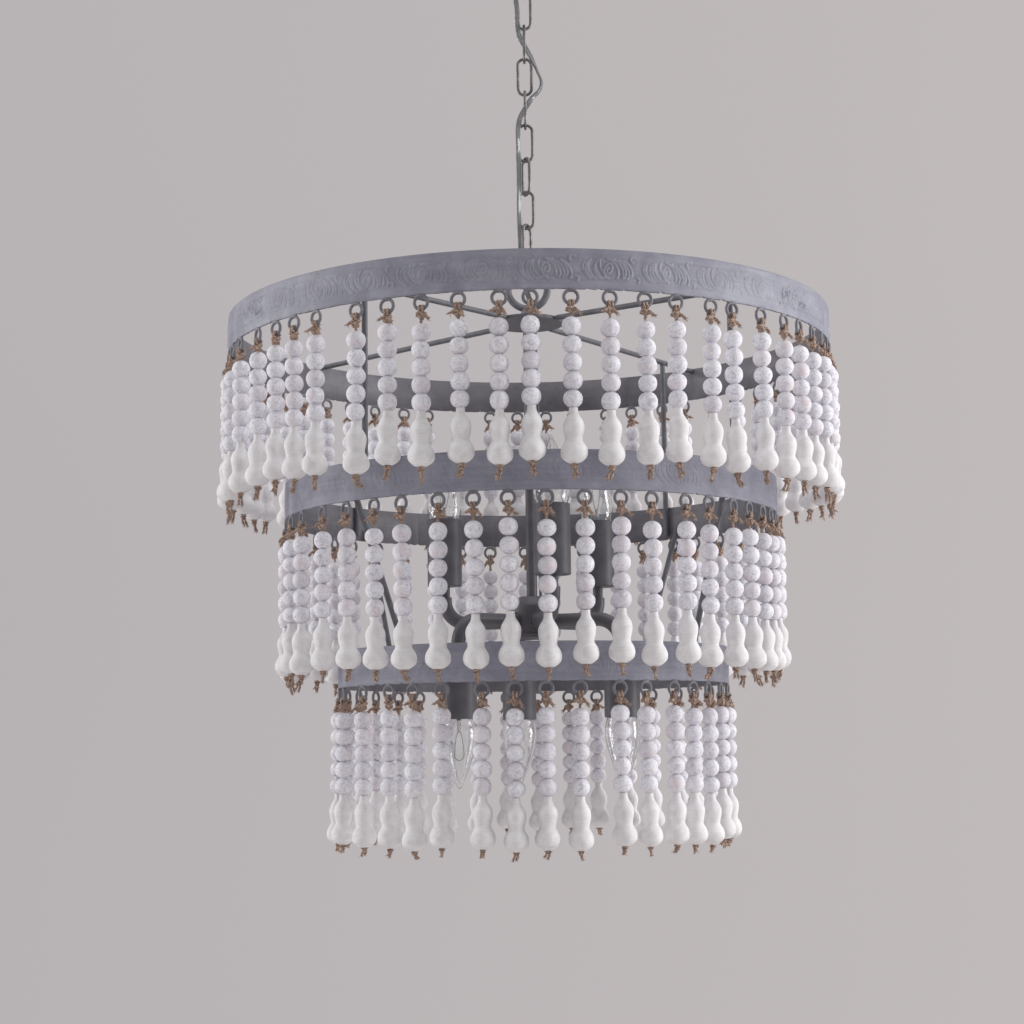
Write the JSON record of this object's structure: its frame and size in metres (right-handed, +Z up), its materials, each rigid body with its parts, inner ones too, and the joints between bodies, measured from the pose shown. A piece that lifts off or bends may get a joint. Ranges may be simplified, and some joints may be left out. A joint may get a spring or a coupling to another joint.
{
  "type": "beaded chandelier",
  "caption": "Three-tier chandelier: flat scroll-relief hoops hung with wooden bead strings, candle lamps on a stem, chain and ceiling canopy",
  "frame": {"origin": "centre of the ceiling bracket's top face, where it meets the ceiling", "axes": "+Z up into the ceiling, +X to the right in the picture's view, +Y away from the viewer"},
  "size_m": [0.6106, 0.6106, 0.9318],
  "materials": {
    "paint": "matt blue-grey paint, brushed over and slightly worn",
    "steel": "dull grey steel wire",
    "dark_metal": "dark grey satin paint",
    "bead_wood": "whitewashed turned wood on jute string",
    "bulb_glass": "clear glass",
    "holder_plastic": "off-white lamp-holder plastic",
    "cord_plastic": "clear flexible twin cord"
  },
  "bodies": {
    "ceiling": {"ceiling_bracket": "steel", "ceiling_canopy": "paint", "canopy_loop": "steel", "power_cord": "cord_plastic"},
    "chain_link_1": {"chain_link_1": "steel"},
    "chain_link_2": {"chain_link_2": "steel"},
    "chain_link_3": {"chain_link_3": "steel"},
    "chain_link_4": {"chain_link_4": "steel"},
    "chain_link_5": {"chain_link_5": "steel"},
    "chain_link_6": {"chain_link_6": "steel"},
    "chain_link_7": {"chain_link_7": "steel"},
    "connecting_link": {"connecting_link": "steel"},
    "fixture": {"hanging_ring": "paint", "hub_plate": "paint", "hoop_top": "paint", "hoop_middle": "paint", "hoop_bottom": "paint", "spoke_1": "paint", "spoke_2": "paint", "spoke_3": "paint", "spoke_4": "paint", "upright_1": "paint", "upright_2": "paint", "upright_3": "paint", "upright_4": "paint", "brace_1": "paint", "brace_2": "paint", "brace_3": "paint", "brace_4": "paint", "centre_stem": "dark_metal", "lamp_body": "dark_metal", "lamp_arm_1": "dark_metal", "lamp_arm_2": "dark_metal", "lamp_arm_3": "dark_metal", "lamp_arm_4": "dark_metal", "lamp_arm_5": "dark_metal", "lamp_arm_6": "dark_metal", "candle_sleeve_1": "dark_metal", "candle_sleeve_2": "dark_metal", "candle_sleeve_3": "dark_metal", "candle_sleeve_4": "dark_metal", "candle_sleeve_5": "dark_metal", "candle_sleeve_6": "dark_metal", "lamp_holder_1": "holder_plastic", "lamp_holder_2": "holder_plastic", "lamp_holder_3": "holder_plastic", "lamp_holder_4": "holder_plastic", "lamp_holder_5": "holder_plastic", "lamp_holder_6": "holder_plastic", "candle_bulb_1": "bulb_glass", "candle_bulb_2": "bulb_glass", "candle_bulb_3": "bulb_glass", "candle_bulb_4": "bulb_glass", "candle_bulb_5": "bulb_glass", "candle_bulb_6": "bulb_glass"},
    "bead_string_top_front": {"bead_string_top_front": "bead_wood"},
    "bead_string_top_side": {"bead_string_top_side": "bead_wood"},
    "bead_string_middle_front": {"bead_string_middle_front": "bead_wood"},
    "bead_string_middle_side": {"bead_string_middle_side": "bead_wood"},
    "bead_string_bottom_front": {"bead_string_bottom_front": "bead_wood"}
  },
  "joints": [
    {"name": "chain_link_1_swing", "type": "hinge", "parent": "ceiling", "child": "chain_link_1", "pos_m": [0, 0, -0.0545], "axis": [0, 1, 0], "range_deg": [-12, 12], "deforming": ["power_cord"]},
    {"name": "chain_link_2_swing", "type": "hinge", "parent": "chain_link_1", "child": "chain_link_2", "pos_m": [0, 0, -0.0892], "axis": [1, 0, 0], "range_deg": [-12, 12], "deforming": ["power_cord"]},
    {"name": "chain_link_3_swing", "type": "hinge", "parent": "chain_link_2", "child": "chain_link_3", "pos_m": [0, 0, -0.1244], "axis": [0, 1, 0], "range_deg": [-12, 12], "deforming": ["power_cord"]},
    {"name": "chain_link_4_swing", "type": "hinge", "parent": "chain_link_3", "child": "chain_link_4", "pos_m": [0, 0, -0.1596], "axis": [1, 0, 0], "range_deg": [-12, 12], "deforming": ["power_cord"]},
    {"name": "chain_link_5_swing", "type": "hinge", "parent": "chain_link_4", "child": "chain_link_5", "pos_m": [0, 0, -0.1948], "axis": [0, 1, 0], "range_deg": [-12, 12], "deforming": ["power_cord"]},
    {"name": "chain_link_6_swing", "type": "hinge", "parent": "chain_link_5", "child": "chain_link_6", "pos_m": [0, 0, -0.23], "axis": [1, 0, 0], "range_deg": [-12, 12], "deforming": ["power_cord"]},
    {"name": "chain_link_7_swing", "type": "hinge", "parent": "chain_link_6", "child": "chain_link_7", "pos_m": [0, 0, -0.2652], "axis": [-0.4848, 0.8746, 0], "range_deg": [-12, 12], "deforming": ["power_cord"]},
    {"name": "connecting_link_swing", "type": "hinge", "parent": "chain_link_7", "child": "connecting_link", "pos_m": [0, 0, -0.3004], "axis": [1, 0, 0], "range_deg": [-12, 12], "deforming": ["power_cord"]},
    {"name": "fixture_swing", "type": "hinge", "parent": "connecting_link", "child": "fixture", "pos_m": [0, 0, -0.3495], "axis": [0.5, 0.866, 0], "range_deg": [-12, 12], "deforming": ["power_cord"]},
    {"name": "bead_string_top_front_swing", "type": "hinge", "parent": "fixture", "child": "bead_string_top_front", "pos_m": [-0.00104, -0.299, -0.4498], "axis": [-1, 0.0035, 0], "range_deg": [-12, 25]},
    {"name": "bead_string_top_side_swing", "type": "hinge", "parent": "fixture", "child": "bead_string_top_side", "pos_m": [0.299, -0.00104, -0.4498], "axis": [-0.0035, -1, 0], "range_deg": [-12, 25]},
    {"name": "bead_string_middle_front_swing", "type": "hinge", "parent": "fixture", "child": "bead_string_middle_front", "pos_m": [0.01102, -0.24275, -0.6138], "axis": [-0.999, -0.0454, 0], "range_deg": [-12, 25]},
    {"name": "bead_string_middle_side_swing", "type": "hinge", "parent": "fixture", "child": "bead_string_middle_side", "pos_m": [0.24299, 0.00254, -0.6138], "axis": [0.0105, -0.9999, 0], "range_deg": [-12, 25]},
    {"name": "bead_string_bottom_front_swing", "type": "hinge", "parent": "fixture", "child": "bead_string_bottom_front", "pos_m": [0.00933, -0.19077, -0.7778], "axis": [-0.9988, -0.0489, 0], "range_deg": [-12, 25]}
  ]
}
